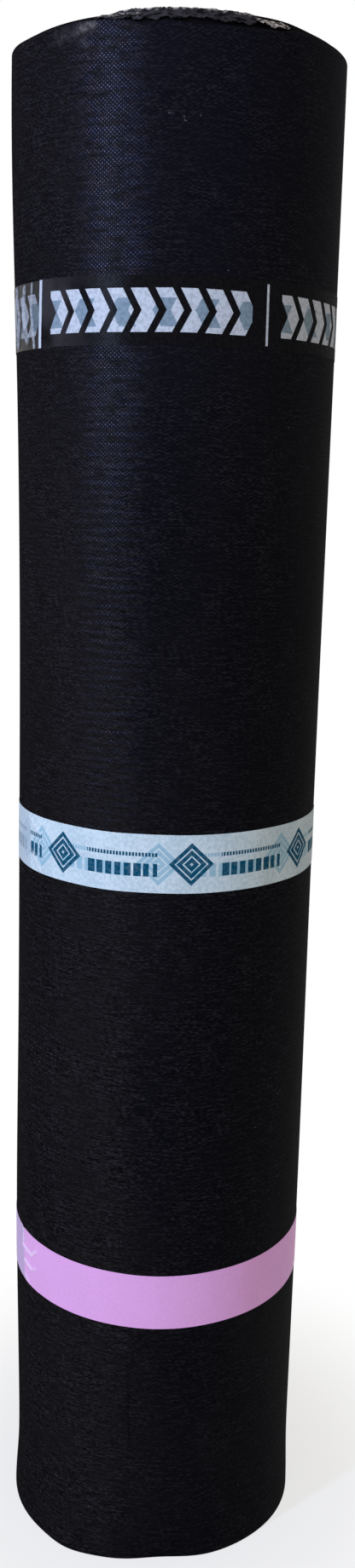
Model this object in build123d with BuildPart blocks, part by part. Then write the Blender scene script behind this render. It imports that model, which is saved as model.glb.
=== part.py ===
"""A roll of roofing felt standing on its end.

One long bitumen sheet is wound up on itself round an open bore. Its turns show as a spiral on both
ends and its tail edge runs down the side as a step. Three bands of tape hold it shut.

Millimetres. +Z runs up the bore and the origin is the middle of the foot. -Y is the front.
"""

import os
from math import acos, degrees, floor, pi, sqrt

from build123d import *

# The sheet, as it is sold
sheet_length = 7500.0
sheet_width = 1000.0
sheet_thickness = 4.0

# How the sheet is wound, with the notch that its edges leave between one turn and the next
bore_radius = 28.5
tail_azimuth = 160.0
seam_width = 1.0
seam_depth = 3.0

# The tapes: the black one is set down from the top end, the white one about mid height, and the
# pink one up from the foot
tape_thickness = 0.3
tape_lap_length = 34.0
tape_lap_from_tail = 62.0
black_tape_width = 39.0
black_tape_from_top = 137.5
white_tape_width = 38.0
white_tape_above_middle = 11.5
pink_tape_width = 39.5
pink_tape_from_foot = 185.2

# The wound sheet fills the ring between the bore and the outermost face
roll_radius = sqrt(bore_radius**2 + sheet_length * sheet_thickness / pi)
turns = floor((roll_radius - bore_radius - seam_width) / sheet_thickness)

# Each turn is two half circles, the second about a centre half a sheet over, so that every turn
# ends one sheet inside the last. Sections have their X axis through the tail edge, and the profiles
# that are turned stand upright on that axis.
section_plane = Plane.XY.rotated((0, 0, tail_azimuth))
profile_plane = Plane(section_plane.origin, section_plane.x_dir, -section_plane.y_dir)
first_centre = (0, 0)
second_centre = (-sheet_thickness / 2, 0)
second_radius = roll_radius - sheet_thickness / 2
first_axis = Axis.Z
second_axis = Axis(section_plane.from_local_coords(Vector(*second_centre)), Axis.Z.direction)


def turn_notch(radius, axis):
    """Half a turn of the seam in the foot, starting at this radius on the profile's X axis."""
    with BuildSketch(profile_plane) as notch:
        with BuildLine():
            Polyline(
                (radius - seam_width / 2, 0),
                (radius + seam_width / 2, 0),
                (radius, seam_depth),
                close=True,
            )
        make_face()
    return revolve(notch.sketch, axis=axis, revolution_arc=180, mode=Mode.PRIVATE)


# The seam runs from under the tail edge, turn by turn, to the start of the sheet
seam = []
for turn in range(1, turns):
    turn_radius = roll_radius - turn * sheet_thickness
    seam.append(turn_notch(turn_radius, first_axis))
    seam.append(turn_notch(-turn_radius, second_axis))

# The felt: the wound section drawn up to the sheet's width, with the seam cut into both ends
with BuildPart() as felt_roll:
    with BuildSketch(section_plane):
        with BuildLine():
            tail_half = CenterArc(first_centre, roll_radius, 0, 180)
            next_half = CenterArc(second_centre, second_radius, 180, 180)
            Line(next_half @ 1, tail_half @ 0)
        make_face()
        Circle(bore_radius, mode=Mode.SUBTRACT)
    extrude(amount=sheet_width)
    add(seam, mode=Mode.SUBTRACT)
    mirror(seam, about=Plane.XY.offset(sheet_width / 2), mode=Mode.SUBTRACT)

# What a tight tape lies on: the felt's outline, with a straight run from the tail edge's corner
# down to where the tape meets the turn below
tape_run_angle = degrees(acos(second_radius / (roll_radius + sheet_thickness / 2)))

with BuildSketch(section_plane) as wrapped:
    with BuildLine():
        tail_half = CenterArc(first_centre, roll_radius, 0, 180)
        next_half = CenterArc(second_centre, second_radius, 180, 180 - tape_run_angle)
        Line(next_half @ 1, tail_half @ 0)
    make_face()


def make_tape(width, height):
    """A band of tape round the felt, with its outer end lapped over its start."""
    lap_from = degrees(tape_lap_from_tail / roll_radius)
    lap_angle = degrees(tape_lap_length / roll_radius)
    band_radius = roll_radius + tape_thickness
    with BuildPart() as tape:
        with BuildSketch(section_plane.offset(height)):
            offset(wrapped.sketch_local, amount=tape_thickness)
            add(wrapped.sketch_local, mode=Mode.SUBTRACT)
            with BuildLine():
                under = CenterArc(first_centre, band_radius, lap_from, lap_angle)
                over = CenterArc(first_centre, band_radius + tape_thickness, lap_from, lap_angle)
                Line(under @ 0, over @ 0)
                Line(under @ 1, over @ 1)
            make_face()
        extrude(amount=width)
    return tape


black_tape_height = sheet_width - black_tape_from_top - black_tape_width
white_tape_height = (sheet_width - white_tape_width) / 2 + white_tape_above_middle
black_tape = make_tape(black_tape_width, black_tape_height)
white_tape = make_tape(white_tape_width, white_tape_height)
pink_tape = make_tape(pink_tape_width, pink_tape_from_foot)

os.makedirs("parts", exist_ok=True)
pieces = {
    "felt_roll": felt_roll,
    "black_tape": black_tape,
    "white_tape": white_tape,
    "pink_tape": pink_tape,
}
for name, piece in pieces.items():
    piece.part.label = name
    export_step(piece.part, f"parts/{name}.step")

print("roll radius", round(roll_radius, 2), "turns", turns)
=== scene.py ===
"""The looks of a roll of roofing felt that stands on its end.

One bitumen sheet is wound up on itself round an open bore, and three bands of tape hold it shut. The
sheet is spun from its own section, half a turn at a time, so that both ends show the winding. Each tape
is a flat strip that is bent round it. Metres. The front of the roll faces -Y and the bore runs up +Z.
A bearing is an angle in degrees round the bore, from the front to the right.
"""

import logging
import math
from dataclasses import dataclass
from enum import Enum

import bmesh
import bpy
from mathutils import Matrix, Vector, noise


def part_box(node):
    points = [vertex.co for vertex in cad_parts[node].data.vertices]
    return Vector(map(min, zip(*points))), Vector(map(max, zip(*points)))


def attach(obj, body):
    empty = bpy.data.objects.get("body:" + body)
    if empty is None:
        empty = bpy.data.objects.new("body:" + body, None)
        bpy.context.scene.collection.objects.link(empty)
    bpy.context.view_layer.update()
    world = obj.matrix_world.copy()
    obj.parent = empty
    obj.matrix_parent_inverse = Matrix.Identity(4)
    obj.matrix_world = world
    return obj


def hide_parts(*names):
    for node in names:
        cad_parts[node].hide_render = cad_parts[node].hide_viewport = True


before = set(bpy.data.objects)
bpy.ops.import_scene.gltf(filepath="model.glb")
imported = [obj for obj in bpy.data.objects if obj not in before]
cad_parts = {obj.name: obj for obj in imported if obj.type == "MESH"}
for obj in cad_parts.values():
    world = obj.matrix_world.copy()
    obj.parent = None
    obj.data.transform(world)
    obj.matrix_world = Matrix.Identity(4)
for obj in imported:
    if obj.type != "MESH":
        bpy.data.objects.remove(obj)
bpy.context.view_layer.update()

log = logging.getLogger("roofing_felt")

MILLIMETRE = 0.001
FULL_TURN = 360.0
HALF_TURN = 180.0
YARN_AROUND = 2.6 * MILLIMETRE
YARN_UP = 2.25 * MILLIMETRE
MERGE_GAP = 0.02 * MILLIMETRE
SHARP_ANGLE = 50.0
# The sockets of a Mix node that take its share and its two colours, and the one that gives the mixed colour
MIX_SHARE, MIX_UNDER, MIX_OVER, MIX_RESULT = 0, 6, 7, 2

Colour = tuple[float, float, float]
Span = tuple[float, float]


def rgb(red: int, green: int, blue: int) -> Colour:
    """A colour written in the eight-bit steps of a screen, as the linear light that a shader takes."""
    shares = (red / 255, green / 255, blue / 255)
    return tuple(s / 12.92 if s <= 0.04045 else ((s + 0.055) / 1.055) ** 2.4 for s in shares)


def ease(value: float, start: float, end: float) -> float:
    """Climbs softly from 0 at start to 1 at end."""
    share = min(max((value - start) / (end - start), 0.0), 1.0)
    return share * share * (3.0 - 2.0 * share)


def wander(*place: float) -> float:
    """Smooth noise between about -1 and 1, the same on every run."""
    return noise.noise(Vector((*place, 0.5, 0.5)[:3]))


def add_object(name: str, data: bpy.types.ID) -> bpy.types.Object:
    """Puts a mesh, lamp or camera into the scene.

    Args:
        name: What the object is called.
        data: What it shows.

    Returns:
        The object, at the origin.
    """
    made = bpy.data.objects.new(name, data)
    bpy.context.scene.collection.objects.link(made)
    return made


def add_strip(mesh: bmesh.types.BMesh, columns: int, rows: int) -> list[bmesh.types.BMVert]:
    """Adds a flat strip of film that is one unit long, wide and thick, with a skin all round.

    Args:
        mesh: The mesh to add to.
        columns: How many faces it has along.
        rows: How many faces it has across.

    Returns:
        Its points, which run from 0 to 1 along, up and out.
    """
    grid = bmesh.ops.create_grid(mesh, x_segments=columns, y_segments=rows, size=0.5)
    bmesh.ops.translate(mesh, vec=(0.5, 0.5, 0.0), verts=grid["verts"])
    faces = dict.fromkeys(face for vert in grid["verts"] for face in vert.link_faces)
    skin = bmesh.ops.extrude_face_region(mesh, geom=list(faces))
    raised = [item for item in skin["geom"] if isinstance(item, bmesh.types.BMVert)]
    bmesh.ops.translate(mesh, vec=(0.0, 0.0, 1.0), verts=raised)
    return [*grid["verts"], *raised]


class Signal:
    """A number that runs through a material's nodes, with sums written as plain arithmetic."""

    def __init__(self, wiring: "Wiring", socket: bpy.types.NodeSocket) -> None:
        """Keeps the socket and the wiring that it belongs to."""
        self.wiring = wiring
        self.socket = socket

    def __add__(self, other: "Number") -> "Signal":
        """This number plus another."""
        return self.wiring.math("ADD", self, other)

    def __sub__(self, other: "Number") -> "Signal":
        """This number less another."""
        return self.wiring.math("SUBTRACT", self, other)

    def __rsub__(self, other: "Number") -> "Signal":
        """Another number less this one."""
        return self.wiring.math("SUBTRACT", other, self)

    def __mul__(self, other: "Number") -> "Signal":
        """This number times another."""
        return self.wiring.math("MULTIPLY", self, other)

    def __truediv__(self, other: "Number") -> "Signal":
        """This number over another."""
        return self.wiring.math("DIVIDE", self, other)

    def cosine(self) -> "Signal":
        """The cosine of this number of whole waves."""
        return self.wiring.math("COSINE", self * math.tau)

    def fraction(self) -> "Signal":
        """What is left of this number past the last whole one."""
        return self.wiring.math("FRACT", self)

    def whole(self) -> "Signal":
        """The whole number at or below this one."""
        return self.wiring.math("FLOOR", self)

    def size(self) -> "Signal":
        """This number without its sign."""
        return self.wiring.math("ABSOLUTE", self)

    def most(self, other: "Number") -> "Signal":
        """The larger of this number and another."""
        return self.wiring.math("MAXIMUM", self, other)

    def least(self, other: "Number") -> "Signal":
        """The smaller of this number and another."""
        return self.wiring.math("MINIMUM", self, other)

    def power(self, exponent: float) -> "Signal":
        """This number raised to a power."""
        return self.wiring.math("POWER", self, exponent)


Number = float | Signal


class Wiring:
    """Lays the nodes of one material and joins them up."""

    def __init__(self, name: str) -> None:
        """Starts an empty material.

        Args:
            name: What the material is called.
        """
        self.material = bpy.data.materials.new(name)
        self.material.use_nodes = True
        self.tree = self.material.node_tree
        self.tree.nodes.clear()

    def node(self, kind: str, **settings: object) -> bpy.types.Node:
        """Adds one node.

        Args:
            kind: The node's type, without the word that all shader nodes start with.
            settings: What is set on the node itself.

        Returns:
            The new node.
        """
        made = self.tree.nodes.new("ShaderNode" + kind)
        for setting, value in settings.items():
            setattr(made, setting, value)
        return made

    def feed(self, socket: bpy.types.NodeSocket, value: object) -> None:
        """Gives a socket a link, a number or a colour.

        Args:
            socket: The input to feed.
            value: A signal to link, or a plain value to set.
        """
        if isinstance(value, Signal):
            self.tree.links.new(value.socket, socket)
        elif isinstance(value, tuple) and socket.type == "RGBA":
            socket.default_value = (*value, 1.0)
        else:
            socket.default_value = value

    def math(self, operation: str, first: Number, second: Number = 0.0) -> Signal:
        """One sum.

        Args:
            operation: Blender's name for the sum.
            first: The left-hand number.
            second: The right-hand number, where the sum has one.

        Returns:
            The result.
        """
        made = self.node("Math", operation=operation)
        self.feed(made.inputs[0], first)
        self.feed(made.inputs[1], second)
        return Signal(self, made.outputs[0])

    def flat(self) -> tuple[Signal, Signal]:
        """Reads the map of the unrolled piece.

        Returns:
            How many metres round and up a point lies.
        """
        parts = self.node("SeparateXYZ")
        self.tree.links.new(self.node("UVMap", uv_map="flat").outputs[0], parts.inputs[0])
        return Signal(self, parts.outputs[0]), Signal(self, parts.outputs[1])

    def mark(self, name: str) -> Signal:
        """A number that the mesh carries on its points."""
        return Signal(self, self.node("Attribute", attribute_name=name).outputs["Fac"])

    def pair(self, across: Number, up: Number) -> Signal:
        """Joins two numbers into one place on a flat pattern.

        Args:
            across: The place across the pattern.
            up: The place up it.

        Returns:
            The place.
        """
        made = self.node("CombineXYZ")
        self.feed(made.inputs[0], across)
        self.feed(made.inputs[1], up)
        return Signal(self, made.outputs[0])

    def clouds(self, across: Number, up: Number, detail: float = 2.0) -> Signal:
        """Soft noise over a flat pattern, about one cloud to a unit.

        Args:
            across: The place across the pattern.
            up: The place up it.
            detail: How many finer layers the noise has.

        Returns:
            The noise, from 0 to 1.
        """
        made = self.node("TexNoise", noise_dimensions="2D")
        self.feed(made.inputs["Vector"], self.pair(across, up))
        self.feed(made.inputs["Scale"], 1.0)
        self.feed(made.inputs["Detail"], detail)
        return Signal(self, made.outputs["Fac"])

    def chance(self, cell: Number, row: Number = 0.0) -> Signal:
        """A fixed random number for each cell of a pattern.

        Args:
            cell: The whole number of the cell across.
            row: The whole number of its row.

        Returns:
            The number, from 0 to 1.
        """
        made = self.node("TexWhiteNoise", noise_dimensions="2D")
        self.feed(made.inputs["Vector"], self.pair(cell, row))
        return Signal(self, made.outputs["Value"])

    def grains(self, across: Number, up: Number) -> Signal:
        """Scattered points, about one to a unit square.

        Args:
            across: The place across the pattern.
            up: The place up it.

        Returns:
            The distance to the nearest point.
        """
        made = self.node("TexVoronoi", voronoi_dimensions="2D")
        self.feed(made.inputs["Vector"], self.pair(across, up))
        self.feed(made.inputs["Scale"], 1.0)
        return Signal(self, made.outputs["Distance"])

    def climb(self, value: Signal, start: float, end: float, low: float = 0.0, high: float = 1.0) -> Signal:
        """Runs softly from low, where value is at start, to high at end.

        Args:
            value: What to follow.
            start: The value at the foot of the climb.
            end: The value at its head, which may be below start.
            low: What comes out at start and before it.
            high: What comes out at end and past it.

        Returns:
            The climb.
        """
        made = self.node("MapRange", interpolation_type="SMOOTHSTEP")
        for slot, given in enumerate((value, start, end, low, high)):
            self.feed(made.inputs[slot], given)
        return Signal(self, made.outputs[0])

    def band(self, value: Signal, centre: float, half: float, soft: float) -> Signal:
        """1 within half of the centre, and 0 from soft further out."""
        return self.climb((value - centre).size(), half + soft, half)

    def blend(self, share: Number, under: "Colour | Signal", over: "Colour | Signal") -> Signal:
        """One colour laid over another.

        Args:
            share: How much of the upper colour shows, from 0 to 1.
            under: The lower colour.
            over: The upper colour.

        Returns:
            The mixed colour.
        """
        made = self.node("Mix", data_type="RGBA")
        for slot, given in ((MIX_SHARE, share), (MIX_UNDER, under), (MIX_OVER, over)):
            self.feed(made.inputs[slot], given)
        return Signal(self, made.outputs[MIX_RESULT])

    def coated(
        self,
        colour: Signal,
        roughness: float,
        shine: Signal,
        shine_roughness: float,
        height: Signal,
        depth: float,
    ) -> bpy.types.Material:
        """Ends the material with a matt ground under a thin coat, both with the same relief.

        Args:
            colour: The ground's colour.
            roughness: How matt the ground is.
            shine: How much coat there is, from 0 to 1.
            shine_roughness: How dull the coat is.
            height: The relief.
            depth: How many metres one unit of the relief is.

        Returns:
            The finished material.
        """
        bump = self.node("Bump")
        self.feed(bump.inputs["Height"], height)
        self.feed(bump.inputs["Distance"], depth)
        normal = Signal(self, bump.outputs[0])
        sockets = {
            "Base Color": colour,
            "Roughness": roughness,
            "Specular IOR Level": 0.0,
            "Coat Weight": shine,
            "Coat Roughness": shine_roughness,
            "Normal": normal,
            "Coat Normal": normal,
        }
        shader = self.node("BsdfPrincipled")
        for name, value in sockets.items():
            self.feed(shader.inputs[name], value)
        self.tree.links.new(shader.outputs[0], self.node("OutputMaterial").inputs["Surface"])
        return self.material


@dataclass(frozen=True)
class Swell:
    """One soft swelling or hollow in the side of the roll."""

    bearing: float
    height: float
    around: float
    up: float
    rise: float

    def at(self, bearing: float, height: float) -> float:
        """How far it stands out at a place, in metres, below zero for a hollow."""
        off = (bearing - self.bearing + HALF_TURN) % FULL_TURN - HALF_TURN
        return self.rise * math.exp(-((off / self.around) ** 2) - ((height - self.height) / self.up) ** 2)


@dataclass(frozen=True)
class Winding:
    """The spiral that the sheet follows: half circles about two centres in turn."""

    radius: float
    sheet: float = 4.0 * MILLIMETRE
    turns: int = 18
    tail_bearing: float = -110.0
    swells: tuple[Swell, ...] = (
        Swell(-88.0, 0.965, 42.0, 0.130, 3.7 * MILLIMETRE),
        Swell(-88.0, 0.640, 45.0, 0.150, -0.9 * MILLIMETRE),
        Swell(-88.0, 0.220, 40.0, 0.130, 1.9 * MILLIMETRE),
        Swell(88.0, 0.900, 40.0, 0.300, 0.9 * MILLIMETRE),
        Swell(88.0, 0.250, 40.0, 0.220, 1.0 * MILLIMETRE),
        Swell(-55.0, 0.000, 34.0, 0.026, 5.0 * MILLIMETRE),
        Swell(-34.0, 0.000, 10.0, 0.026, 2.4 * MILLIMETRE),
        Swell(4.0, 0.000, 15.0, 0.026, -5.1 * MILLIMETRE),
        Swell(62.0, 0.000, 26.0, 0.030, 3.0 * MILLIMETRE),
        Swell(-43.0, 0.452, 3.0, 0.007, -0.9 * MILLIMETRE),
        Swell(-45.0, 0.417, 3.5, 0.008, -0.8 * MILLIMETRE),
    )

    def heading(self, bearing: float) -> Vector:
        """The level direction of a bearing."""
        turn = math.radians(bearing)
        return Vector((math.sin(turn), -math.cos(turn), 0.0))

    def place(self, bearing: float, distance: float, height: float) -> Vector:
        """The point at a bearing and a distance from the bore's axis."""
        return self.heading(bearing) * distance + Vector((0.0, 0.0, height))

    def centre(self, half: int) -> Vector:
        """The centre of the first or the second half of every turn."""
        return self.heading(self.tail_bearing) * (-half * self.sheet / 2.0)

    def turned(self, bearing: float) -> float:
        """How far a bearing lies past the tail edge, from 0 to a full turn."""
        return (bearing - self.tail_bearing) % FULL_TURN

    def bearing(self, point: Vector) -> float:
        """The bearing of a point, from the tail edge to a full turn past it."""
        return self.tail_bearing + self.turned(math.degrees(math.atan2(point.x, -point.y)))

    def wound(self, point: Vector) -> float:
        """How many turns lie between the tail edge and the sheet at a point.

        Args:
            point: A place in or on the wound sheet.

        Returns:
            Whole turns inwards, plus the share of a turn past the tail edge.
        """
        past = self.turned(self.bearing(point))
        half = 0 if past < HALF_TURN else 1
        reach = (point.xy - self.centre(half).xy).length
        layers = (self.radius - half * self.sheet / 2.0 - reach) / self.sheet
        return math.floor(layers + 0.02) + past / FULL_TURN

    def swelling(self, bearing: float, height: float) -> float:
        """How far the side of the roll stands out from its true outline at a place."""
        return sum(swell.at(bearing, height) for swell in self.swells)

    def outline(self, bearing: float) -> float:
        """How far from the bore's axis a tight tape runs at a bearing.

        Args:
            bearing: Degrees round the bore, from the front to the right.

        Returns:
            The distance of the felt's face, or of the straight run down from the tail edge's corner.
        """
        past = self.turned(bearing)
        if past <= HALF_TURN:
            return self.radius
        ahead = self.heading(bearing)
        centre = self.centre(1)
        reach = self.radius - self.sheet / 2.0
        along = centre.dot(ahead)
        circle = along + math.sqrt(reach**2 - centre.length_squared + along**2)
        run = math.degrees(math.acos(reach / (self.radius + self.sheet / 2.0)))
        corner = self.heading(self.tail_bearing) * self.radius
        landing = centre + self.heading(self.tail_bearing - run) * reach
        if past < self.turned(self.bearing(landing)):
            return circle
        step = landing - corner
        return corner.cross(step).z / ahead.cross(step).z


@dataclass(frozen=True)
class Scar:
    """A crease or scratch in the felt's face, in millimetres round from the front and up from the foot. A
    dark tone on a crease is painted shade in it.
    """

    start: tuple[float, float]
    end: tuple[float, float]
    width: float
    depth: float
    share: float
    tone: Colour

    def mark(self, wiring: Wiring, around: Signal, up: Signal) -> Signal:
        """Where the scar lies.

        Args:
            wiring: The material's wiring.
            around: Metres round the roll.
            up: Metres above the foot.

        Returns:
            1 along the scar, falling to 0 beside it and past its ends.
        """
        start, end = Vector(self.start), Vector(self.end)
        length = (end - start).length
        ahead = (end - start) / length
        right = around / MILLIMETRE - start.x
        rise = up / MILLIMETRE - start.y
        along = (right * ahead.x + rise * ahead.y) / length
        waver = (wiring.clouds(along * 6.0 + start.x, 2.0) - 0.5) * self.width * 1.6
        beside = (right * ahead.y - rise * ahead.x + waver).size()
        broken = wiring.climb(wiring.clouds(right * 0.35 + start.y, rise * 0.35, 3.0), 0.34, 0.60, 0.15, 1.0)
        return wiring.climb(beside, self.width, 0.0) * wiring.band(along, 0.5, 0.30, 0.20) * broken


@dataclass(frozen=True)
class FeltFinish:
    """Black woven-faced bitumen felt: a fine lattice of yarn crests over ribs and dust, with painted
    highlights on the crests, a painted sheen over its upper part, painted light on its left side and painted
    light and shade in its grain.

    A span is where something starts and where it is full, in metres round, up or out from the bore's axis.
    """

    row_up: float = 5.6 * MILLIMETRE
    # The painted highlight on the yarn crests is centred this far left of the front, where the key lamp's
    # reflection falls.
    highlight_centre: float = 38.0 * MILLIMETRE
    dense_rise: Span = (0.66, 0.88)
    sparse_rise: Span = (0.43, 0.62)
    sheen_rise: Span = (0.62, 1.0)
    calm_fall: Span = (0.50, 0.15)
    left_side: Span = (-0.010, -0.036)
    far_left: Span = (-0.062, -0.100)
    right_side: Span = (-0.030, -0.008)
    right_sheen: Span = (0.015, 0.100)
    outer_turn: Span = (0.090, 0.096)
    relief: float = 0.13 * MILLIMETRE
    face: Colour = (0.0049, 0.0049, 0.0064)
    dust: Colour = (0.0072, 0.0068, 0.0079)
    # Painted sheen: a lighter, bluer tone over the upper part of the outer turn, standing in for the
    # reflection of the light from above.
    painted_sheen: Colour = (0.0058, 0.0056, 0.0090)
    # Painted light with dust: lighter tones for the left side, which faces the key lamp.
    left_dust_and_light: Colour = (0.0102, 0.0092, 0.0095)
    far_dust_and_light: Colour = (0.0086, 0.0075, 0.0075)
    # Painted highlight on the grain's threads; shade below is the painted shade in its hollows.
    thread_highlight: Colour = (0.0285, 0.0265, 0.0300)
    # Painted highlight: the blue and violet tints of the yarn crests where the key lamp's reflection falls.
    blue_crest_highlight: Colour = (0.0120, 0.0190, 0.0640)
    violet_crest_highlight: Colour = (0.0300, 0.0210, 0.0500)
    shade: Colour = (0.0014, 0.0014, 0.0022)
    speck: Colour = (0.13, 0.13, 0.15)
    bitumen: Colour = (0.0060, 0.0058, 0.0062)
    grit: Colour = (0.16, 0.15, 0.15)
    film: Colour = (0.038, 0.034, 0.037)
    pale_film: Colour = (0.48, 0.43, 0.38)
    roughness: float = 0.8
    shine: float = 0.75
    shine_roughness: float = 0.26
    # Dark tones on the creases are painted shade in them.
    scars: tuple[Scar, ...] = (
        Scar((-17.8, 160.0), (-15.4, 80.0), 1.7, 1.2, 0.55, (0.0014, 0.0014, 0.0020)),
        Scar((-76.1, 442.0), (-76.9, 416.0), 2.2, 0.4, 0.55, (0.0180, 0.0168, 0.0190)),
        Scar((-73.0, 447.0), (-77.5, 439.0), 1.4, 1.0, 0.55, (0.0016, 0.0016, 0.0022)),
        Scar((-70.0, 474.0), (-78.0, 470.0), 1.3, 0.8, 0.45, (0.0150, 0.0140, 0.0160)),
        Scar((-127.0, 973.0), (-104.0, 959.0), 1.2, 0.6, 0.50, (0.0170, 0.0160, 0.0180)),
        Scar((-7.4, 948.6), (-3.4, 947.8), 0.9, 0.0, 1.0, (0.0700, 0.0740, 0.0900)),
        Scar((0.8, 947.2), (2.6, 946.4), 0.5, 0.0, 1.0, (0.1200, 0.1250, 0.1500)),
        Scar((1.8, 944.8), (3.8, 944.2), 0.6, 0.0, 1.0, (0.1200, 0.1250, 0.1500)),
        Scar((-84.0, 992.0), (-46.0, 996.0), 6.0, 0.0, 0.6, (0.0420, 0.0390, 0.0430)),
        Scar((-65.0, 993.5), (-49.0, 997.5), 3.4, 0.0, 0.9, (0.1100, 0.1000, 0.0980)),
        Scar((-62.0, 990.0), (-54.0, 985.0), 4.0, 0.0, 0.5, (0.0500, 0.0480, 0.0530)),
    )

    def yarns(self, wiring: Wiring, around: Signal, up: Signal) -> tuple[Signal, Signal, Signal]:
        """The lattice of yarn crests, each as firm as chance and its patch make it. Its painted highlight is
        strongest in a strip where the key lamp's reflection falls, and high on the roll.

        Args:
            wiring: The material's wiring.
            around: Metres round the roll.
            up: Metres above the foot.

        Returns:
            The crests from 0 to 1, how firmly each stands out and how strongly its painted highlight shows,
            and the painted shading of the wrinkles below and above them.
        """
        drift = wiring.clouds(around * 30.0, up * 30.0) - 0.5
        sway = wiring.clouds(around * 22.0 + 9.0, up * 60.0) - 0.5
        across = (around + drift * 0.0014) / YARN_AROUND
        rise = (up + sway * 0.0020) / YARN_UP
        wide = across.cosine()
        crests = (wide * (1.5 - wide.size() * 0.5) * rise.cosine()).most(0.0)
        luck = wiring.chance((across * 2.0 + 0.5).whole(), (rise * 2.0 + 0.5).whole())
        luck = luck * 0.65 + ((across + rise) * 0.5).cosine() * 0.17 + 0.17
        patches = wiring.climb(wiring.clouds(around * 70.0, up * 210.0, 3.0), 0.24, 0.64)
        rows = (((up + sway * 0.004) / self.row_up).cosine() * 0.5 + 0.5).power(3.0)
        # The crests' painted highlight fades lower on the roll, as the key lamp's reflection does.
        dense = patches * 0.75 * wiring.climb(up, *self.dense_rise)
        sparse = rows * (patches * 0.62 + 0.12) * wiring.climb(up, *self.sparse_rise)
        # Painted highlight strip: the crests show most in a band round the key lamp's reflection, which
        # slants a little near the top.
        strip = wiring.climb(up, 0.90, 0.97, 0.0, 0.005) + self.highlight_centre
        highlight_strip = wiring.climb((around + strip).size(), 0.009, 0.030, 1.0, 0.01)
        firm_and_lit = (luck * 0.75 + 0.25) * (dense + sparse + 0.02) * highlight_strip
        slack = wiring.clouds(around * 130.0 + 3.0, up * 330.0, 2.0) - 0.5
        wrinkle_shading = (across * 0.6 + slack * 1.3).cosine() * (rise + 0.25 + slack * 0.4).cosine()
        strength = wiring.clouds(around * 45.0, up * 45.0 + 4.0, 2.0)
        return crests, firm_and_lit, wrinkle_shading * wiring.climb(strength, 0.30, 0.65, 0.3, 1.0)

    def dusted_and_lit(self, wiring: Wiring, around: Signal, up: Signal, smear: Signal) -> Signal:
        """The face's own colour, with a painted sheen over its upper part and painted light with dust on its
        left side.

        Args:
            wiring: The material's wiring.
            around: Metres round the roll.
            up: Metres above the foot.
            smear: Wide soft noise.

        Returns:
            The colour.
        """
        ground = wiring.blend(wiring.climb(smear, 0.35, 0.75), self.face, self.dust)
        outer = wiring.climb(wiring.mark("reach"), *self.outer_turn)
        # Painted sheen over the upper part of the outer turn, weaker on the far left.
        sheen_share = wiring.climb(up, *self.sheen_rise).power(1.5) * wiring.climb(around, -0.085, -0.055, 0.4, 1.0)
        ground = wiring.blend(sheen_share * outer, ground, self.painted_sheen)
        # Painted light with dust: the left side is lighter, more so low on the roll.
        left = wiring.climb(around, *self.left_side)
        left = left * wiring.climb(smear, 0.10, 0.60, 0.55, 1.0) * wiring.climb(up, 0.80, 0.50, 0.70, 1.0)
        dust_and_light = wiring.blend(wiring.climb(around, *self.far_left), self.left_dust_and_light, self.far_dust_and_light)
        return wiring.blend(left, ground, dust_and_light)

    def grained(self, wiring: Wiring, around: Signal, up: Signal, wrinkle_shading: Signal, ground: Signal) -> Signal:
        """Lays a slanting grain over the face as painted light and shade: painted highlights on its threads
        and painted shade in its hollows.

        Args:
            wiring: The material's wiring.
            around: Metres round the roll.
            up: Metres above the foot.
            wrinkle_shading: The painted shading of the weave's wrinkles, below and above zero.
            ground: The face's colour.

        Returns:
            The colour.
        """
        tilt = around + up * 0.25
        grain = wiring.clouds(tilt * 330.0, up * 1000.0, 2.0) * 0.6
        grain = grain + wrinkle_shading * wiring.climb(up, 0.45, 0.75, 0.05, 0.12)
        grain = grain + wiring.clouds(tilt * 75.0, up * 640.0, 2.0) * 0.4
        lively = wiring.clouds(around * 26.0 + 5.0, up * 34.0, 3.0)
        lively = wiring.climb(lively, 0.30, 0.70, 0.50, 1.0) * (1.0 - wiring.mark("cut_edge"))
        right = wiring.climb(around, *self.right_side)
        calm = wiring.climb(up, *self.calm_fall)
        lively = lively * (wiring.climb(up, 0.60, 0.30, 0.90, 1.30) - right * 0.25 - right * calm * 0.35)
        # Painted highlight on the threads, then painted shade in the hollows, weaker on the right side.
        ground = wiring.blend(wiring.climb(grain, 0.49, 0.68) * lively * 0.68, ground, self.thread_highlight)
        return wiring.blend(wiring.climb(grain, 0.50, 0.34) * lively * 0.72, ground, self.shade)

    def edged(self, wiring: Wiring, around: Signal, up: Signal, ground: Signal) -> Signal:
        """Lays the gritty bitumen of the cut edges and the torn film at the rim over the face.

        Args:
            wiring: The material's wiring.
            around: Metres round the roll.
            up: Metres above the foot.
            ground: The face's colour.

        Returns:
            The colour.
        """
        cut = wiring.mark("cut_edge")
        inward = up + wiring.mark("reach")
        ground = wiring.blend(cut, ground, self.bitumen)
        grit = wiring.climb(wiring.grains(around * 700.0, inward * 700.0), 0.22, 0.12)
        grit = grit * wiring.climb(wiring.clouds(around * 60.0, inward * 60.0, 2.0), 0.58, 0.75) * cut
        ground = wiring.blend(grit, ground, self.grit)
        torn = wiring.mark("torn_film")
        scuffs = wiring.clouds(around * 170.0, up * 620.0, 4.0)
        shreds = wiring.blend(wiring.climb(scuffs, 0.36, 0.60), self.bitumen, self.film)
        flecks = wiring.clouds(around * 430.0 + 7.0, up * 900.0, 3.0)
        bare = wiring.climb(torn, 1.0, 1.9) * wiring.climb(flecks, 0.42, 0.58, 0.05, 1.0)
        shreds = wiring.blend(bare, shreds, self.pale_film)
        return wiring.blend(torn.least(1.0), ground, shreds)

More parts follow.
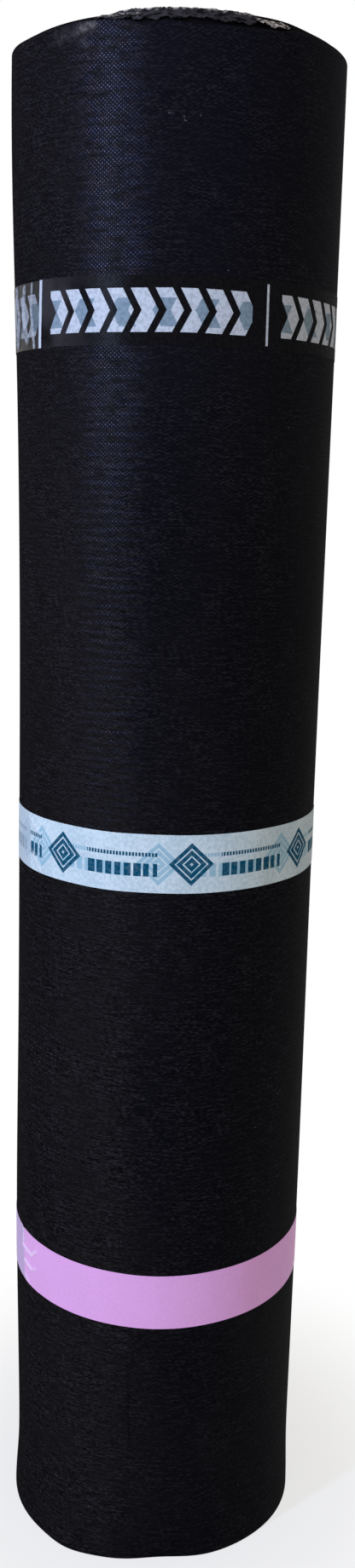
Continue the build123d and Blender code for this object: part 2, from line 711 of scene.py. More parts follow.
    def material(self) -> bpy.types.Material:
        """Wires the felt's material.

        Returns:
            The material.
        """
        wiring = Wiring("woven_felt")
        around, up = wiring.flat()
        crests, firm_and_lit, wrinkle_shading = self.yarns(wiring, around, up)
        cut = wiring.mark("cut_edge")
        outside = 1.0 - cut
        ribs = (up / (YARN_UP / 2.0)).cosine() * wiring.clouds(around * 90.0, up * 400.0)
        streaks = wiring.clouds(around * 55.0, up * 1300.0, 1.0) - 0.5
        crumbs = wiring.clouds(around * 900.0, (up + wiring.mark("reach")) * 900.0, 3.0) - 0.5
        height = crests * (firm_and_lit * 0.6 + 0.3) + ribs * 0.10 + streaks * 0.30
        height = height * outside + crumbs * cut * 2.0
        smear = wiring.clouds(around * 9.0, up * 5.0, 3.0)
        ground = self.dusted_and_lit(wiring, around, up, smear)
        ground = self.grained(wiring, around, up, wrinkle_shading, ground)
        # Painted highlight: the yarn crests are tinted blue and violet, more violet to the left.
        hue = wiring.clouds(around * 110.0 + 2.0, up * 120.0, 2.0)
        hue = wiring.climb(hue + wiring.climb(around, -0.034, -0.062, -0.07, 0.09), 0.44, 0.58)
        crest_highlight = wiring.blend(hue, self.blue_crest_highlight, self.violet_crest_highlight)
        ground = wiring.blend((crests * 0.85 + 0.15) * firm_and_lit * outside, ground, crest_highlight)
        specks = wiring.climb(wiring.grains(around * 13.0, up * 13.0), 0.0055, 0.0030)
        specks = specks * wiring.climb(wiring.clouds(around * 17.0, up * 17.0), 0.50, 0.56)
        ground = wiring.blend(specks, ground, self.speck)
        for scar in self.scars:
            depth = scar.mark(wiring, around, up)
            ground = wiring.blend(depth * scar.share, ground, scar.tone)
            height = height - depth * scar.depth
        ground = self.edged(wiring, around, up, ground)
        shine = crests * crests * firm_and_lit * self.shine * outside + smear * 0.008 + 0.004
        shine = shine + wiring.climb(around, *self.right_sheen) * 0.026
        return wiring.coated(ground, self.roughness, shine, self.shine_roughness, height, self.relief)


@dataclass(frozen=True)
class Shred:
    """A torn strip of surface film at the upper rim. Heights and lifts are in millimetres from the end."""

    start_bearing: float
    end_bearing: float
    low: float
    high: float
    ragged: float
    inset: float
    lift: float
    paleness: float
    fringe: float = 0.0
    taper: float = 0.07
    columns: int = 120
    rows: int = 6
    thickness: float = 0.25

    def bearing(self, across: float) -> float:
        """The bearing of a place along the strip, from 0 to 1."""
        return self.start_bearing + (self.end_bearing - self.start_bearing) * across

    def lie(self, across: float, up: float, level: float, winding: Winding, top: float) -> Vector:
        """Where a point of the flat strip lies.

        Args:
            across: Its place along the strip, from 0 to 1.
            up: Its place from the lower edge to the upper one, from 0 to 1.
            level: 0 on the inner side, 1 on the outer side.
            winding: The spiral that the felt follows.
            top: The height of the roll's end.

        Returns:
            The place.
        """
        bearing = self.bearing(across)
        taper = ease(across, 0.0, self.taper) * ease(across, 1.0, 0.93)
        tear = wander(bearing * 0.30, 3.0) + 0.5 * wander(bearing * 0.95, 8.0)
        nicks = wander(bearing * 0.45, 5.0) + 0.6 * wander(bearing * 1.6, 6.0)
        low = self.low + self.ragged * (tear + 0.2 * wander(bearing * 2.6, 1.0))
        high = self.high + 0.35 * self.ragged * nicks
        middle = (low + high) / 2.0
        height = middle + (up - 0.5) * (high - low) * (0.15 + 0.85 * taper)
        crinkle = 0.40 * wander(bearing * 0.6, up * 3.0, 1.0) + 0.25 * wander(bearing * 2.2, up * 5.0, 2.0)
        reach = -self.inset + self.lift * (1.0 - up) + crinkle * (1.3 - up) + level * self.thickness
        distance = winding.outline(bearing) + reach * MILLIMETRE
        return winding.place(bearing, distance, top + height * MILLIMETRE)

    def pale(self, across: float, up: float) -> float:
        """How pale the film is at a place: 1 is dark, 2 is bare and dusty."""
        edge = ease(up, 0.7, 1.0) * max(wander(self.bearing(across) * 0.5, 12.0) + 0.45, 0.0)
        return self.paleness + self.fringe * edge

    def add(self, mesh: bmesh.types.BMesh, winding: Winding, top: float) -> None:
        """Adds the strip to the felt's mesh, which already has its map and its marks.

        Args:
            mesh: The felt's mesh.
            winding: The spiral that the felt follows.
            top: The height of the roll's end.
        """
        strip = add_strip(mesh, self.columns, self.rows)
        flat = mesh.loops.layers.uv["flat"]
        torn = mesh.verts.layers.float["torn_film"]
        for vert in strip:
            vert[torn] = self.pale(vert.co.x, vert.co.y)
            vert.co = self.lie(*vert.co, winding, top)
        walls = list(dict.fromkeys(face for vert in strip for face in vert.link_faces))
        for loop in (loop for face in walls for loop in face.loops):
            bearing = math.atan2(loop.vert.co.x, -loop.vert.co.y)
            loop[flat].uv = (bearing * winding.radius, loop.vert.co.z)
        bmesh.ops.recalc_face_normals(mesh, faces=walls)


@dataclass(frozen=True)
class FeltRoll:
    """The wound sheet, with the edges of its turns on both ends and its tail edge down the side.

    An edge drop is a bearing and how many millimetres the outermost turn lies below the end there.
    """

    winding: Winding
    height: float
    finish: FeltFinish = FeltFinish()
    edge_round: float = 0.6 * MILLIMETRE
    seam_gap: float = 0.7 * MILLIMETRE
    seam_depth: float = 12.0 * MILLIMETRE
    columns: int = 112
    rows: int = 150
    bore_rows: int = 12
    edge_drops: tuple[tuple[float, float], ...] = (
        (-90.0, 0.0), (-74.0, 0.2), (-60.0, 1.2), (-34.0, 0.8), (-27.0, 1.6), (-20.0, 2.6), (-12.0, 5.0),
        (-5.0, 3.6), (5.0, 5.4), (15.0, 4.8), (31.0, 3.8), (41.0, 1.4), (60.0, 1.2), (90.0, 1.4),
    )
    shreds: tuple[Shred, ...] = (
        Shred(-30.0, 26.0, -2.4, 3.4, 1.6, 3.4, 1.2, 1.0, fringe=1.3, taper=0.27, columns=340),
        Shred(-29.0, -13.0, -0.3, 1.1, 0.7, 2.4, 0.5, 1.30, fringe=0.8, columns=220),
        Shred(24.5, 37.5, -1.4, 1.5, 1.5, 3.0, 2.0, 2.0),
    )

    def comb(self, turns: int) -> list[tuple[float, float]]:
        """The zigzag of sheet edges across one end of the roll.

        Args:
            turns: How many turns the section cuts.

        Returns:
            Distances from the bore's axis with depths below the end, from the outer face in.
        """
        points = [(self.winding.radius, self.seam_depth)]
        for turn in range(turns):
            outer = self.winding.radius - turn * self.winding.sheet
            inner = outer - self.winding.sheet
            points += [
                (outer, self.seam_depth / 3.0),
                (outer, self.edge_round),
                (outer - self.edge_round, 0.0),
                (inner + self.seam_gap + self.edge_round, 0.0),
                (inner + self.seam_gap, self.edge_round),
                (inner, self.seam_depth),
            ]
        return points

    def spin_half(self, mesh: bmesh.types.BMesh, half: int) -> None:
        """Spins the section through the first or the second half of every turn.

        Args:
            mesh: The mesh to add to.
            half: 0 for the half that starts at the tail edge, 1 for the other.
        """
        comb = self.comb(self.winding.turns - half)
        loop = [(reach, self.height - depth) for reach, depth in comb]
        loop += [(reach, depth) for reach, depth in reversed(comb)]
        start = self.winding.tail_bearing + half * HALF_TURN
        verts = [mesh.verts.new(self.winding.place(start, reach, up)) for reach, up in loop]
        edges = [mesh.edges.new((verts[i - 1], verts[i])) for i in range(len(verts))]
        outer_face, bore_face = edges[0], edges[len(comb)]
        bmesh.ops.subdivide_edges(mesh, edges=[outer_face], cuts=self.rows)
        bmesh.ops.subdivide_edges(mesh, edges=[bore_face], cuts=self.bore_rows)
        wires = [edge for edge in mesh.edges if edge.is_wire]
        ends = {vert for edge in wires for vert in edge.verts}
        bmesh.ops.spin(
            mesh,
            geom=[*ends, *wires],
            cent=self.winding.centre(half),
            axis=(0.0, 0.0, 1.0),
            angle=math.pi,
            steps=self.columns,
        )

    def drop(self, bearing: float) -> float:
        """How far the outermost turn's upper edge lies below the end at a bearing.

        Args:
            bearing: Degrees round the bore, from the front to the right.

        Returns:
            The drop in metres.
        """
        for (left, before), (right, after) in zip(self.edge_drops, self.edge_drops[1:]):
            if bearing < right:
                return (before + (after - before) * ease(bearing, left, right)) * MILLIMETRE
        return self.edge_drops[-1][1] * MILLIMETRE

    def edge_shift(self, wound: float, bearing: float) -> float:
        """How far the sheet's upper edge stands above the end.

        Args:
            wound: How many turns in the edge lies.
            bearing: Its bearing.

        Returns:
            The rise in metres, below zero for a drop.
        """
        uneven = wander(wound * 3.1, 4.0) * 0.9 + wander(wound * 17.0, 9.0) * 0.35
        front = ease(bearing, -30.0, -11.0) * ease(bearing, 52.0, 34.0)
        outermost = ease(wound, 1.3, 0.9)
        proud = 2.2 + 1.2 * front * ease(wound, 6.0, 1.0)
        inner = (uneven + proud) * MILLIMETRE
        return inner * (1.0 - outermost) + (0.25 * uneven * MILLIMETRE - self.drop(bearing)) * outermost

    def settle(self, vert: bmesh.types.BMVert, marks: dict[str, bmesh.types.BMLayerItem]) -> None:
        """Moves one point of the true winding to where the worn sheet lies, and marks what it is.

        Args:
            vert: The point.
            marks: The mesh's layers of marks, by name.
        """
        winding = self.winding
        point = vert.co.copy()
        bearing = winding.bearing(point)
        wound = winding.wound(point)
        depth = min(self.height - point.z, point.z)
        upper = point.z > self.height / 2.0
        edge = ease(depth, self.seam_depth, 0.0)
        reach = point.xy.length
        layer = (winding.radius - reach) / winding.sheet
        vert[marks["cut_edge"]] = 0.0 if wound < 1.0 and layer < 0.05 else ease(edge, 0.0, 0.5)
        vert[marks["reach"]] = reach
        follow = ease(wound, 7.0, 1.0)
        shift = winding.heading(bearing) * winding.swelling(bearing, point.z) * follow
        if upper:
            shift.z = self.edge_shift(wound, bearing) * edge
        elif wound >= 1.0:
            shift.z = abs(wander(wound * 2.3, 31.0)) * 1.5 * MILLIMETRE * edge
        vert.co = point + shift

    def unroll(self, mesh: bmesh.types.BMesh) -> None:
        """Gives every face its place on the unrolled sheet, as a map in metres.

        Args:
            mesh: The felt's mesh.
        """
        flat = mesh.loops.layers.uv.new("flat")
        mesh.verts.index_update()
        bearings = [self.winding.bearing(vert.co) for vert in mesh.verts]
        for face in mesh.faces:
            middle = self.winding.bearing(face.calc_center_median())
            for loop in face.loops:
                bearing = bearings[loop.vert.index]
                bearing += FULL_TURN * round((middle - bearing) / FULL_TURN)
                loop[flat].uv = (math.radians(bearing) * self.winding.radius, loop.vert.co.z)

    def build(self) -> bpy.types.Object:
        """Makes the felt and dresses it.

        Returns:
            The finished piece.
        """
        mesh = bmesh.new()
        self.spin_half(mesh, 0)
        self.spin_half(mesh, 1)
        bmesh.ops.remove_doubles(mesh, verts=mesh.verts, dist=MERGE_GAP)
        open_edges = [edge for edge in mesh.edges if edge.is_boundary]
        steps = bmesh.ops.holes_fill(mesh, edges=open_edges)
        bmesh.ops.triangulate(mesh, faces=steps["faces"])
        bmesh.ops.recalc_face_normals(mesh, faces=mesh.faces)
        marks = {name: mesh.verts.layers.float.new(name) for name in ("cut_edge", "reach", "torn_film")}
        for vert in mesh.verts:
            self.settle(vert, marks)
        self.unroll(mesh)
        for shred in self.shreds:
            shred.add(mesh, self.winding, self.height)
        return finish_piece(mesh, "wound_felt", self.finish.material(), "felt_roll")


class Print(Enum):
    """What is printed on a tape."""

    CHEVRONS = "chevrons"
    LOZENGES = "lozenges"
    NONE = "none"


@dataclass(frozen=True)
class Fold:
    """One crease near a tape's loose end, from one bearing and height in millimetres to another."""

    start: tuple[float, float]
    end: tuple[float, float]
    rise: float
    width: float

    def at(self, bearing: float, up: float, degree: float) -> float:
        """How far the crease lifts the film at a place.

        Args:
            bearing: Degrees round the bore.
            up: Millimetres above the tape's lower edge.
            degree: How many millimetres a degree is on the roll's face.

        Returns:
            The lift in millimetres.
        """
        run = Vector(((self.end[0] - self.start[0]) * degree, self.end[1] - self.start[1]))
        place = Vector(((bearing - self.start[0]) * degree, up - self.start[1]))
        share = min(max(place.dot(run) / run.length_squared, 0.0), 1.0)
        return self.rise * math.exp(-((place - run * share).length / self.width) ** 2)


@dataclass(frozen=True)
class FilmFinish:
    """Thin plastic tape: its film, its edges and what is printed on it, with painted highlights on its folds,
    a painted tone on the under-layer by its end and painted light with dust on its left side.
    """

    name: str
    pattern: Print
    film: Colour
    tint: Colour
    gloss: float
    under: Colour
    under_share: float
    crest_highlight: Colour
    crest_highlight_share: float
    ink: Colour = (1.0, 1.0, 1.0)
    ghost: Colour = (1.0, 1.0, 1.0)
    under_gloss: float = 0.0
    trim_share: float = 0.0
    dust: float = 0.0
    dust_and_light_tone: Colour = (0.30, 0.27, 0.30)
    roughness: float = 0.6
    gloss_roughness: float = 0.30
    relief: float = 0.10 * MILLIMETRE

    def chevrons(self, wiring: Wiring, around: Signal, up: Signal, width: float) -> tuple[Signal, Signal]:
        """Bold slanted blocks in groups, with a thin line between one group and the next.

        Args:
            wiring: The material's wiring.
            around: Metres along the tape.
            up: Metres above its lower edge.
            width: The tape's width.

        Returns:
            Where the ink lies, and where the layer beneath dulls it.
        """
        group = 0.1500
        pitch = 0.0146
        slope = 0.55
        along = (around / group).fraction() * group
        point = (up - width / 2.0).size() * slope
        bar = wiring.band(((along + point) / pitch).fraction(), 0.5, 0.33, 0.015)
        tall = wiring.band(up, width * 0.5, width * 0.31, width * 0.006)
        inside = wiring.band(along, group * 0.511, group * 0.430, 0.0001)
        line = wiring.band(along, 0.0016, 0.0007, 0.0002) * wiring.band(up, width * 0.5, width * 0.44, 0.0003)
        shade = wiring.band(((point - around) / (pitch * 1.7)).fraction(), 0.5, 0.2, 0.02)
        shade = shade * wiring.band(up, width * 0.47, width * 0.20, width * 0.006)
        return (bar * tall * inside).most(line), shade

    def lozenges(self, wiring: Wiring, around: Signal, up: Signal, width: float) -> tuple[Signal, Signal]:
        """Nested lozenges with rows of thick and thin dashes between them.

        Args:
            wiring: The material's wiring.
            around: Metres along the tape.
            up: Metres above its lower edge.
            width: The tape's width.

        Returns:
            Where the ink lies, and where the ink of the layer beneath shows through.
        """
        group = 0.088
        dash_pitch = 0.0062
        fine_pitch = 0.0021

        def motif(shift: float) -> Signal:
            """Draws the whole print once.

            Args:
                shift: How many metres it is moved along the tape.

            Returns:
                Where its ink lies.
            """
            along = ((around + shift) / group).fraction() * group
            rise = up - width * 0.5
            ring = (along - 0.017).size() / 0.0145 + rise.size() / (width * 0.37)
            lozenge = wiring.climb(ring, 1.0, 0.985) * wiring.climb((ring * 3.0).fraction(), 0.22, 0.28)
            cell = along / dash_pitch
            length = wiring.chance(cell.whole(), 3.0) * 0.3 + 0.55
            dash = wiring.climb(cell.fraction() - length, 0.03, -0.03)
            thick = dash * wiring.band(rise, -0.0042, 0.0042, 0.0001)
            fine = wiring.climb((along / fine_pitch).fraction(), 0.72, 0.66)
            fine = fine * wiring.band(rise, 0.0058, 0.0012, 0.0001)
            between = wiring.climb(along, 0.0365, 0.0367) * wiring.climb(along, 0.0835, 0.0833)
            return lozenge.most(thick.most(fine) * between)

        return motif(0.0), motif(0.021) * 0.60

    def material(self, width: float, loose: float, turn: float) -> bpy.types.Material:
        """Wires the film's material.

        Args:
            width: The tape's width in metres.
            loose: How many metres round the roll its loose end lies.
            turn: How many metres a whole turn is.

        Returns:
            The material.
        """
        wiring = Wiring(self.name)
        around, up = wiring.flat()
        mottle = wiring.clouds(around * 420.0, up * 420.0, 3.0)
        thin = wiring.climb(mottle, 0.58, 0.36) * 0.20
        patches = wiring.clouds(around * 40.0, up * 30.0, 2.0)
        ground = wiring.blend(wiring.climb(mottle * 0.6 + patches * 0.4, 0.35, 0.65), self.film, self.tint)
        if self.pattern is Print.CHEVRONS:
            ink, ghost = self.chevrons(wiring, around - loose, up, width)
            ground = wiring.blend(ink * (1.0 - thin), ground, wiring.blend(ghost, self.ink, self.ghost))
        elif self.pattern is Print.LOZENGES:
            ink, ghost = self.lozenges(wiring, around, up, width)
            ground = wiring.blend(ink * (1.0 - thin * 0.4), wiring.blend(ghost, ground, self.ghost), self.ink)
        # Painted tone on the under-layer by the end, at the roll's left edge: painted shade on the pink and
        # white tapes, a painted sheen on the black one.
        under = wiring.climb(around, loose + turn - 0.050, loose + turn - 0.040)
        ground = wiring.blend(under * self.under_share, ground, self.under)
        trim = wiring.band(around, loose + 0.0016, 0.0012, 0.0003) * self.trim_share
        ground = wiring.blend(trim, ground, self.ink)
        # Painted highlight on the folds.
        fold = wiring.mark("fold")
        glint = wiring.climb(fold, 0.15, 1.0) * wiring.climb(mottle, 0.25, 0.60, 0.4, 1.0)
        ground = wiring.blend(glint * self.crest_highlight_share, ground, self.crest_highlight)
        # Painted light with dust: the tape's left side is lighter.
        dust_and_light = wiring.climb(around, -0.035, -0.085) * wiring.climb(patches, 0.2, 0.6) * self.dust
        ground = wiring.blend(dust_and_light, ground, self.dust_and_light_tone)
        yarns = (around / YARN_AROUND).cosine() * (up / YARN_UP).cosine()
        height = yarns * 0.25 + (wiring.clouds(around * 90.0, up * 90.0) - 0.5) * 2.0
        shine = mottle * self.gloss + self.gloss * 0.5 + under * self.under_gloss
        return wiring.coated(ground, self.roughness, shine, self.gloss_roughness, height, self.relief)


@dataclass
class Tape:
    """A band of film bent round the felt, with its loose end lapped over its start."""

    name: str
    node: str
    slot: str
    winding: Winding
    finish: FilmFinish
    loose_bearing: float
    start_bearing: float
    lean: float
    ragged: float
    folds: tuple[Fold, ...] = ()
    film: float = 0.16 * MILLIMETRE
    fold_span: tuple[float, float] = (-90.0, -40.0)
    columns: int = 440
    rows: int = 48
    end_columns_share: float = 0.27
    end_length: float = 62.0 * MILLIMETRE

    def __post_init__(self) -> None:
        """Takes the tape's height and width from the frame."""
        low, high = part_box(self.node)
        self.foot = low.z
        self.width = high.z - low.z

    def length(self) -> float:
        """How long the strip is, from its start round to its loose end."""
        lap = self.start_bearing - self.loose_bearing
        return math.radians(FULL_TURN + lap) * self.winding.radius

    def spread(self, share: float) -> float:
        """How far from the loose end a column lies, with the columns closer together near both ends.

        Args:
            share: The column's place in the grid, from 0 at the loose end to 1 at the start.

        Returns:
            Metres along the strip from its loose end.
        """
        near = self.end_columns_share
        if share < near:
            return share / near * self.end_length
        if share > 1.0 - near:
            return self.length() - (1.0 - share) / near * self.end_length
        return self.end_length + (share - near) / (1.0 - 2.0 * near) * (self.length() - 2.0 * self.end_length)

    def crease(self, along: float, up: float) -> float:
        """How far the folds lift the film at a place on the flat strip.

        Args:
            along: Metres from the loose end.
            up: Metres above the lower edge.

        Returns:
            The lift in millimetres.
        """
        bearing = self.loose_bearing + math.degrees(along / self.winding.radius)
        facing = (bearing + HALF_TURN) % FULL_TURN - HALF_TURN
        if not self.fold_span[0] < facing < self.fold_span[1]:
            return 0.0
        degree = math.radians(self.winding.radius) / MILLIMETRE
        return max((fold.at(facing, up / MILLIMETRE, degree) for fold in self.folds), default=0.0)

    def lie(self, along: float, up: float, level: float) -> Vector:
        """Where a point of the flat strip lies once it is bent round the roll.

        Args:
            along: Metres from the loose end.
            up: Metres above the lower edge.
            level: 0 on the side that lies on the felt, 1 on the outer side.

        Returns:
            The place.
        """
        winding = self.winding
        bearing = self.loose_bearing + math.degrees(along / winding.radius)
        slant = self.lean * (0.5 - up / self.width) + self.ragged * wander(up * 300.0, self.foot * 70.0)
        bearing += slant * ease(along, 20.0 * MILLIMETRE, 0.0)
        lap = math.radians(self.start_bearing - self.loose_bearing) * winding.radius
        layer = (self.film + 0.05 * MILLIMETRE) * ease(along, lap + 6.0 * MILLIMETRE, lap)
        crease = self.crease(along, up) * MILLIMETRE
        slack = 0.04 * MILLIMETRE * (1.0 + wander(bearing * 0.11, up * 60.0, self.foot * 40.0))
        waver = 0.35 * MILLIMETRE * wander(bearing * 0.05, self.foot * 90.0)
        height = self.foot + up + waver
        reach = winding.outline(bearing) + winding.swelling(bearing, height)
        reach += layer + crease + slack + 0.05 * MILLIMETRE + level * self.film
        return winding.place(bearing, reach, height)

    def build(self) -> bpy.types.Object:
        """Makes the tape from a flat strip and dresses it.

        Returns:
            The finished piece.
        """
        mesh = bmesh.new()
        flat = mesh.loops.layers.uv.new("flat")
        fold = mesh.verts.layers.float.new("fold")
        start = math.radians(self.loose_bearing) * self.winding.radius
        for vert in add_strip(mesh, self.columns, self.rows):
            along, up = self.spread(vert.co.x), vert.co.y * self.width
            for loop in vert.link_loops:
                loop[flat].uv = (start + along, up)
            vert[fold] = self.crease(along, up)
            vert.co = self.lie(along, up, vert.co.z)
        bmesh.ops.recalc_face_normals(mesh, faces=mesh.faces)
        material = self.finish.material(self.width, start, FULL_TURN * math.radians(self.winding.radius))
        return finish_piece(mesh, self.name, material, self.node)


def finish_piece(
    mesh: bmesh.types.BMesh, name: str, material: bpy.types.Material, node: str
) -> bpy.types.Object:
    """Turns a mesh into a piece that rides on the roll and stands for a CAD node.

    Args:
        mesh: The finished mesh, which is freed.
        name: The piece's name.
        material: Its finish.
        node: The CAD node that it stands for.

    Returns:
        The piece.
    """
    data = bpy.data.meshes.new(name)
    mesh.to_mesh(data)
    mesh.free()
    data.materials.append(material)
    data.shade_smooth()
    data.set_sharp_from_angle(angle=math.radians(SHARP_ANGLE))
    piece = add_object(name, data)
    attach(piece, "root")
    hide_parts(node)
    log.info("%s: %d faces for %s", name, len(data.polygons), node)
    return piece


@dataclass(frozen=True)
class Viewpoint:
    """Where the photograph was taken from, with its frame in pixels."""

    place: tuple[float, float, float] = (0.0, -0.9486, 0.7501)
    pitch_down: float = 0.2170
    yaw: float = 0.0081
    roll: float = -0.0232
    focal_pixels: float = 1642.47
    frame_height_pixels: float = 1840.0
    sensor: float = 36.0

    def build(self) -> bpy.types.Object:
        """Makes the camera.

        Returns:
            The camera's object.
        """
        ahead = Vector((
            math.sin(self.yaw) * math.cos(self.pitch_down),
            math.cos(self.yaw) * math.cos(self.pitch_down),
            -math.sin(self.pitch_down),
        ))
        level = Vector((math.cos(self.yaw), -math.sin(self.yaw), 0.0))
        down = ahead.cross(level)
        right = level * math.cos(self.roll) + down * math.sin(self.roll)
        up = level * math.sin(self.roll) - down * math.cos(self.roll)
        turn = Matrix((right, up, -ahead)).transposed().to_4x4()
        lens = bpy.data.cameras.new("camera")
        lens.sensor_fit = "VERTICAL"
        lens.sensor_height = self.sensor
        lens.lens = self.sensor * self.focal_pixels / self.frame_height_pixels
        camera = add_object("camera", lens)
        camera.matrix_world = Matrix.Translation(self.place) @ turn
        bpy.context.scene.camera = camera
        return camera


@dataclass(frozen=True)
class Lamp:
    """One soft panel lamp that faces the bore's axis. Its face is radiance times as bright as white."""

    name: str
    bearing: float
    distance: float
    height: float
    size: tuple[float, float]
    radiance: float
    colour: Colour

    def hang(self) -> None:
        """Hangs the lamp, level with the point that it faces."""
        lamp = bpy.data.lights.new(self.name, "AREA")
        lamp.shape = "RECTANGLE"
        lamp.size, lamp.size_y = self.size
        lamp.energy = self.radiance * math.pi * self.size[0] * self.size[1]
        lamp.color = self.colour
        holder = add_object(self.name, lamp)
        turn = math.radians(self.bearing)
        holder.location = (math.sin(turn) * self.distance, -math.cos(turn) * self.distance, self.height)
        toward = Vector((-holder.location.x, -holder.location.y, 0.0))
        holder.rotation_euler = toward.to_track_quat("-Z", "Y").to_euler()


@dataclass(frozen=True)
class Studio:
    """A pale floor, a white surround and soft lamps."""

    ambient: Colour = (0.375, 0.330, 0.285)
    floor_size: float = 12.0
    floor_colour: Colour = (0.88, 0.88, 0.88)
    lamps: tuple[Lamp, ...] = (
        Lamp("key_strip", -46.0, 1.45, 1.35, (0.10, 1.5), 52.0, (0.53, 0.66, 1.0)),
        Lamp("high_panel", -5.0, 2.6, 2.3, (2.4, 1.4), 1.8, (0.78, 0.87, 1.0)),
    )

    def seen(self, tree: bpy.types.NodeTree) -> bpy.types.NodeSocket:
        """Tells what is looked at from what gives light.

        Args:
            tree: The nodes to add to.

        Returns:
            1 where the camera, a glossy surface or a clear one looks, and 0 for the light itself.
        """
        path = tree.nodes.new("ShaderNodeLightPath")
        total = path.outputs["Is Camera Ray"]
        for name in ("Is Glossy Ray", "Is Transmission Ray"):
            add = tree.nodes.new("ShaderNodeMath")
            add.operation = "ADD"
            add.use_clamp = True
            tree.links.new(total, add.inputs[0])
            tree.links.new(path.outputs[name], add.inputs[1])
            total = add.outputs[0]
        return total

    def light_world(self) -> None:
        """Makes the surround white to look at, and a plain soft light on the object."""
        world = bpy.data.worlds.new("surround")
        world.use_nodes = True
        tree = world.node_tree
        tree.nodes.clear()
        mix = tree.nodes.new("ShaderNodeMix")
        mix.data_type = "RGBA"
        tree.links.new(self.seen(tree), mix.inputs[MIX_SHARE])
        mix.inputs[MIX_UNDER].default_value = (*self.ambient, 1.0)
        mix.inputs[MIX_OVER].default_value = (1.0, 1.0, 1.0, 1.0)
        background = tree.nodes.new("ShaderNodeBackground")
        tree.links.new(mix.outputs[MIX_RESULT], background.inputs["Color"])
        output = tree.nodes.new("ShaderNodeOutputWorld")
        tree.links.new(background.outputs[0], output.inputs["Surface"])
        bpy.context.scene.world = world

    def lay_floor(self) -> None:
        """Lays a pale floor that keeps the shadow at the foot and is white further out."""
        mesh = bmesh.new()
        bmesh.ops.create_grid(mesh, x_segments=1, y_segments=1, size=self.floor_size)
        data = bpy.data.meshes.new("floor")
        mesh.to_mesh(data)
        mesh.free()
        wiring = Wiring("pale_floor")
        tree = wiring.tree
        place = wiring.node("TexCoord")
        reach = wiring.node("VectorMath", operation="LENGTH")
        tree.links.new(place.outputs["Object"], reach.inputs[0])
        far = wiring.climb(Signal(wiring, reach.outputs["Value"]), 0.10, 0.32, 0.70, 1.0)
        matt = wiring.node("BsdfDiffuse")
        wiring.feed(matt.inputs["Color"], self.floor_colour)
        white = wiring.node("Emission")
        mix = wiring.node("MixShader")
        wiring.feed(mix.inputs[0], far * Signal(wiring, self.seen(tree)))
        tree.links.new(matt.outputs[0], mix.inputs[1])
        tree.links.new(white.outputs[0], mix.inputs[2])
        tree.links.new(mix.outputs[0], wiring.node("OutputMaterial").inputs["Surface"])
        data.materials.append(wiring.material)
        add_object("floor", data)

    def build(self) -> None:
        """Sets up the floor, the surround and the lamps."""
        self.light_world()
        self.lay_floor()
        for lamp in self.lamps:
            lamp.hang()
        bpy.context.scene.view_settings.view_transform = "Standard"


# Each film's crest highlight is a painted highlight on its folds, its under colour is painted shade on the
# white and pink films and a painted sheen on the black one, and the black film's dust is painted light with
# dust on its left side.
BLACK_FILM = FilmFinish(
    name="black_printed_film", pattern=Print.CHEVRONS,
    film=(0.0026, 0.0025, 0.0034), tint=(0.0046, 0.0042, 0.0052),
    ink=rgb(193, 200, 208), ghost=rgb(128, 147, 160), gloss_roughness=0.28, gloss=0.07,
    under=(0.010, 0.009, 0.009), under_share=0.55, under_gloss=0.35, trim_share=1.0, dust=0.09,
    crest_highlight=(0.42, 0.44, 0.47), crest_highlight_share=0.65,
)
WHITE_FILM = FilmFinish(
    name="white_printed_film", pattern=Print.LOZENGES,
    film=(0.50, 0.62, 0.66), tint=(0.65, 0.76, 0.78),
    ink=(0.0008, 0.068, 0.125), ghost=(0.16, 0.40, 0.52), gloss=0.05,
    under=(0.46, 0.52, 0.56), under_share=0.6, crest_highlight=(0.80, 0.84, 0.86), crest_highlight_share=0.6,
)
PINK_FILM = FilmFinish(
    name="pink_plain_film", pattern=Print.NONE,
    film=(0.82, 0.42, 0.77), tint=(0.86, 0.44, 0.81),
    gloss=0.30, under=(0.53, 0.41, 0.62), under_share=0.85,
    crest_highlight=(0.94, 0.78, 0.93), crest_highlight_share=0.8,
)


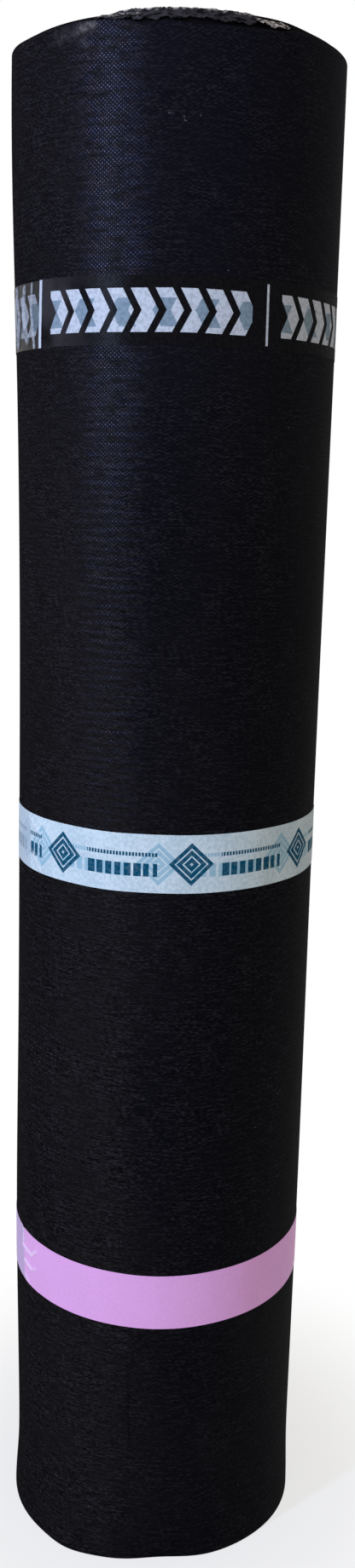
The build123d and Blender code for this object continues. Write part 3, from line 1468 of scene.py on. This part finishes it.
def make_tapes(winding: Winding) -> list[Tape]:
    """The three tapes, from the top down.

    Args:
        winding: The spiral that they are bent round.

    Returns:
        The tapes, not yet built.
    """
    black_folds = (
        Fold((-77.0, 8.0), (-76.0, 31.0), 0.7, 2.6),
        Fold((-72.5, 4.0), (-70.0, 19.0), 1.5, 2.3),
        Fold((-70.0, 19.0), (-73.0, 36.0), 1.3, 2.6),
        Fold((-64.0, 36.0), (-65.5, 21.0), 1.4, 2.0),
        Fold((-65.5, 21.0), (-62.5, 6.0), 1.6, 2.4),
        Fold((-58.0, 38.0), (-59.0, 24.0), 1.0, 1.2),
        Fold((-59.0, 24.0), (-57.0, 1.0), 1.2, 1.3),
    )
    white_folds = (
        Fold((-61.0, 35.0), (-54.0, 27.0), 0.8, 1.7),
        Fold((-60.5, 24.0), (-53.0, 22.0), 0.5, 1.3),
        Fold((-59.0, 12.0), (-53.0, 2.0), 0.8, 1.6),
        Fold((-57.0, 13.0), (-51.0, 4.0), 0.5, 1.2),
    )
    pink_folds = (
        Fold((-66.3, 38.0), (-65.3, 29.0), 0.8, 1.7),
        Fold((-65.2, 26.5), (-58.0, 25.0), 1.1, 1.9),
        Fold((-58.0, 25.0), (-54.5, 31.0), 0.8, 1.6),
        Fold((-64.3, 16.0), (-58.5, 14.0), 1.1, 1.9),
        Fold((-58.5, 14.0), (-55.0, 16.5), 0.7, 1.6),
        Fold((-64.0, 5.5), (-61.5, 2.0), 0.8, 1.6),
    )
    return [
        Tape(
            "black_band", "black_tape", "black_film", winding, BLACK_FILM,
            loose_bearing=-53.8, start_bearing=-46.0, lean=-1.2, ragged=0.1, folds=black_folds,
        ),
        Tape(
            "white_band", "white_tape", "white_film", winding, WHITE_FILM,
            loose_bearing=-61.1, start_bearing=-51.0, lean=0.4, ragged=0.4, folds=white_folds,
        ),
        Tape(
            "pink_band", "pink_tape", "pink_film", winding, PINK_FILM,
            loose_bearing=-65.4, start_bearing=-54.0, lean=2.4, ragged=0.8, folds=pink_folds,
        ),
    ]


def main() -> None:
    """Builds the roll, its tapes and the studio round them."""
    logging.basicConfig(level=logging.INFO, format="%(name)s: %(message)s")
    low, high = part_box("felt_roll")
    winding = Winding(radius=-low.x)
    FeltRoll(winding, high.z - low.z).build()
    for tape in make_tapes(winding):
        tape.build()
    Viewpoint().build()
    Studio().build()


if __name__ == "__main__":
    main()
